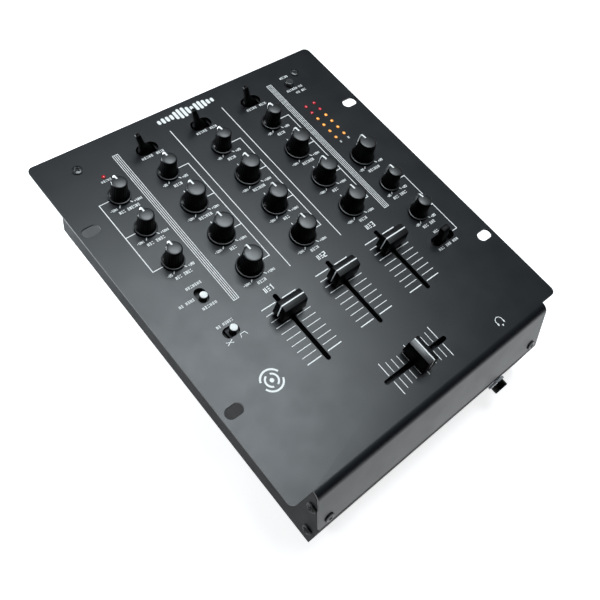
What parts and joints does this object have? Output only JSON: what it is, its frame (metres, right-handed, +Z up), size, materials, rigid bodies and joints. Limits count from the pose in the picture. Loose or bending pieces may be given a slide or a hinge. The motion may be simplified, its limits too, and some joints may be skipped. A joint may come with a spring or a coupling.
{
  "type": "mixing console",
  "caption": "Tabletop DJ mixer: bent sheet-metal panel with rotary knobs, channel faders, a crossfader, toggle levers, a lamp meter and a slanted front lip on a folded chassis.",
  "frame": {"origin": "centre of the bounding box at the underside of the feet", "axes": "+Z up, square to the control panel; +Y to the back of the console; +X to the user's right"},
  "size_m": [0.254, 0.3096, 0.0975],
  "materials": {
    "panel_paint": "satin charcoal powder coat",
    "chassis_paint": "satin near-black powder coat",
    "black_plastic": "satin black moulded plastic",
    "white_plastic": "white moulded plastic",
    "rubber": "matte black rubber",
    "steel": "plated steel",
    "black_steel": "black oxide steel",
    "circuit_board": "green solder mask",
    "amber_lens": "lit amber and red lamps",
    "red_lens": "lit red lamp"
  },
  "bodies": {
    "console": {"top_panel": "panel_paint", "chassis": "chassis_paint", "rear_panel": "chassis_paint", "foot_front_left": "rubber", "foot_back_left": "rubber", "foot_front_right": "rubber", "foot_back_right": "rubber", "panel_screw_left": "black_steel", "panel_screw_right": "black_steel", "lip_screw_left": "black_steel", "lip_screw_right": "black_steel", "side_screw_left_upper": "black_steel", "side_screw_left_lower": "black_steel", "side_screw_right_upper": "black_steel", "side_screw_right_lower": "black_steel", "control_board": "circuit_board", "main_board": "circuit_board", "ch1_fader_unit": "steel", "ch2_fader_unit": "steel", "ch3_fader_unit": "steel", "crossfader_unit": "steel", "input_sockets": "black_plastic", "output_sockets": "black_plastic", "headphone_jack": "black_plastic", "mic_jack": "black_plastic", "ground_post": "steel", "power_inlet": "black_plastic", "power_switch_housing": "black_plastic", "meter_lamps": "amber_lens", "power_light": "red_lens"},
    "mic_treble_knob": {"mic_treble_knob": "black_plastic"},
    "mic_bass_knob": {"mic_bass_knob": "black_plastic"},
    "mic_gain_knob": {"mic_gain_knob": "black_plastic"},
    "ch1_gain_knob": {"ch1_gain_knob": "black_plastic"},
    "ch2_gain_knob": {"ch2_gain_knob": "black_plastic"},
    "ch3_gain_knob": {"ch3_gain_knob": "black_plastic"},
    "cue_gain_knob": {"cue_gain_knob": "black_plastic"},
    "cue_mix_knob": {"cue_mix_knob": "black_plastic"},
    "ch1_treble_knob": {"ch1_treble_knob": "black_plastic"},
    "ch1_mid_knob": {"ch1_mid_knob": "black_plastic"},
    "ch1_bass_knob": {"ch1_bass_knob": "black_plastic"},
    "ch2_treble_knob": {"ch2_treble_knob": "black_plastic"},
    "ch2_mid_knob": {"ch2_mid_knob": "black_plastic"},
    "ch2_bass_knob": {"ch2_bass_knob": "black_plastic"},
    "ch3_treble_knob": {"ch3_treble_knob": "black_plastic"},
    "ch3_mid_knob": {"ch3_mid_knob": "black_plastic"},
    "ch3_bass_knob": {"ch3_bass_knob": "black_plastic"},
    "master_knob": {"master_knob": "black_plastic"},
    "ch1_input_toggle": {"ch1_input_toggle": "black_plastic"},
    "ch2_input_toggle": {"ch2_input_toggle": "black_plastic"},
    "ch3_input_toggle": {"ch3_input_toggle": "black_plastic"},
    "cue_lever": {"cue_lever": "black_plastic"},
    "crossfader_mode_button": {"crossfader_mode_button": "white_plastic"},
    "crossfader_slope_button": {"crossfader_slope_button": "white_plastic"},
    "meter_button": {"meter_button": "black_plastic"},
    "ch1_fader_cap": {"ch1_fader_cap": "black_plastic"},
    "ch2_fader_cap": {"ch2_fader_cap": "black_plastic"},
    "ch3_fader_cap": {"ch3_fader_cap": "black_plastic"},
    "crossfader_cap": {"crossfader_cap": "black_plastic"},
    "power_rocker": {"power_rocker": "black_plastic"}
  },
  "joints": [
    {"name": "mic_treble_turn", "type": "hinge", "parent": "console", "child": "mic_treble_knob", "pos_m": [-0.0871, 0.10375, 0.078], "axis": [0, 0, 1], "range_deg": [-150, 150]},
    {"name": "mic_bass_turn", "type": "hinge", "parent": "console", "child": "mic_bass_knob", "pos_m": [-0.0871, 0.07275, 0.078], "axis": [0, 0, 1], "range_deg": [-150, 150]},
    {"name": "mic_gain_turn", "type": "hinge", "parent": "console", "child": "mic_gain_knob", "pos_m": [-0.0871, 0.04165, 0.078], "axis": [0, 0, 1], "range_deg": [-150, 150]},
    {"name": "ch1_gain_turn", "type": "hinge", "parent": "console", "child": "ch1_gain_knob", "pos_m": [-0.0474, 0.10375, 0.078], "axis": [0, 0, 1], "range_deg": [-150, 150]},
    {"name": "ch2_gain_turn", "type": "hinge", "parent": "console", "child": "ch2_gain_knob", "pos_m": [0, 0.10375, 0.078], "axis": [0, 0, 1], "range_deg": [-150, 150]},
    {"name": "ch3_gain_turn", "type": "hinge", "parent": "console", "child": "ch3_gain_knob", "pos_m": [0.0475, 0.10375, 0.078], "axis": [0, 0, 1], "range_deg": [-150, 150]},
    {"name": "cue_gain_turn", "type": "hinge", "parent": "console", "child": "cue_gain_knob", "pos_m": [0.0876, 0.01055, 0.078], "axis": [0, 0, 1], "range_deg": [-150, 150]},
    {"name": "cue_mix_turn", "type": "hinge", "parent": "console", "child": "cue_mix_knob", "pos_m": [0.0876, -0.02105, 0.078], "axis": [0, 0, 1], "range_deg": [-150, 150]},
    {"name": "ch1_treble_turn", "type": "hinge", "parent": "console", "child": "ch1_treble_knob", "pos_m": [-0.0474, 0.07275, 0.078], "axis": [0, 0, 1], "range_deg": [-150, 150]},
    {"name": "ch1_mid_turn", "type": "hinge", "parent": "console", "child": "ch1_mid_knob", "pos_m": [-0.0474, 0.04165, 0.078], "axis": [0, 0, 1], "range_deg": [-150, 150]},
    {"name": "ch1_bass_turn", "type": "hinge", "parent": "console", "child": "ch1_bass_knob", "pos_m": [-0.0474, 0.01055, 0.078], "axis": [0, 0, 1], "range_deg": [-150, 150]},
    {"name": "ch2_treble_turn", "type": "hinge", "parent": "console", "child": "ch2_treble_knob", "pos_m": [0, 0.07275, 0.078], "axis": [0, 0, 1], "range_deg": [-150, 150]},
    {"name": "ch2_mid_turn", "type": "hinge", "parent": "console", "child": "ch2_mid_knob", "pos_m": [0, 0.04165, 0.078], "axis": [0, 0, 1], "range_deg": [-150, 150]},
    {"name": "ch2_bass_turn", "type": "hinge", "parent": "console", "child": "ch2_bass_knob", "pos_m": [0, 0.01055, 0.078], "axis": [0, 0, 1], "range_deg": [-150, 150]},
    {"name": "ch3_treble_turn", "type": "hinge", "parent": "console", "child": "ch3_treble_knob", "pos_m": [0.0475, 0.07275, 0.078], "axis": [0, 0, 1], "range_deg": [-150, 150]},
    {"name": "ch3_mid_turn", "type": "hinge", "parent": "console", "child": "ch3_mid_knob", "pos_m": [0.0475, 0.04165, 0.078], "axis": [0, 0, 1], "range_deg": [-150, 150]},
    {"name": "ch3_bass_turn", "type": "hinge", "parent": "console", "child": "ch3_bass_knob", "pos_m": [0.0475, 0.01055, 0.078], "axis": [0, 0, 1], "range_deg": [-150, 150]},
    {"name": "master_turn", "type": "hinge", "parent": "console", "child": "master_knob", "pos_m": [0.0876, 0.04165, 0.078], "axis": [0, 0, 1], "range_deg": [-150, 150]},
    {"name": "ch1_input_flip", "type": "hinge", "parent": "console", "child": "ch1_input_toggle", "pos_m": [-0.0474, 0.12945, 0.071], "axis": [0, 1, 0], "range_deg": [0, 36]},
    {"name": "ch2_input_flip", "type": "hinge", "parent": "console", "child": "ch2_input_toggle", "pos_m": [0, 0.12945, 0.071], "axis": [0, 1, 0], "range_deg": [0, 36]},
    {"name": "ch3_input_flip", "type": "hinge", "parent": "console", "child": "ch3_input_toggle", "pos_m": [0.0475, 0.12945, 0.071], "axis": [0, 1, 0], "range_deg": [0, 36]},
    {"name": "cue_lever_flip", "type": "hinge", "parent": "console", "child": "cue_lever", "pos_m": [0.0876, -0.04755, 0.073], "axis": [0, 1, 0], "range_deg": [0, 33]},
    {"name": "crossfader_mode_slide", "type": "slide", "parent": "console", "child": "crossfader_mode_button", "axis": [0, 1, 0], "range_m": [0, 0.0038]},
    {"name": "crossfader_slope_slide", "type": "slide", "parent": "console", "child": "crossfader_slope_button", "axis": [1, 0, 0], "range_m": [-0.0034, 0]},
    {"name": "meter_button_press", "type": "slide", "parent": "console", "child": "meter_button", "axis": [0, 0, -1], "range_m": [0, 0.0015], "stiffness_N_per_m": 400},
    {"name": "ch1_fader_slide", "type": "slide", "parent": "console", "child": "ch1_fader_cap", "axis": [0, 1, 0], "range_m": [-0.0359, 0.0091]},
    {"name": "ch2_fader_slide", "type": "slide", "parent": "console", "child": "ch2_fader_cap", "axis": [0, 1, 0], "range_m": [-0.0359, 0.0091]},
    {"name": "ch3_fader_slide", "type": "slide", "parent": "console", "child": "ch3_fader_cap", "axis": [0, 1, 0], "range_m": [-0.0359, 0.0091]},
    {"name": "crossfader_slide", "type": "slide", "parent": "console", "child": "crossfader_cap", "axis": [1, 0, 0], "range_m": [-0.0225, 0.0225]},
    {"name": "power_rocker_flip", "type": "hinge", "parent": "console", "child": "power_rocker", "pos_m": [0.091, 0.14355, 0.036], "axis": [1, 0, 0], "range_deg": [-24, 0]}
  ]
}
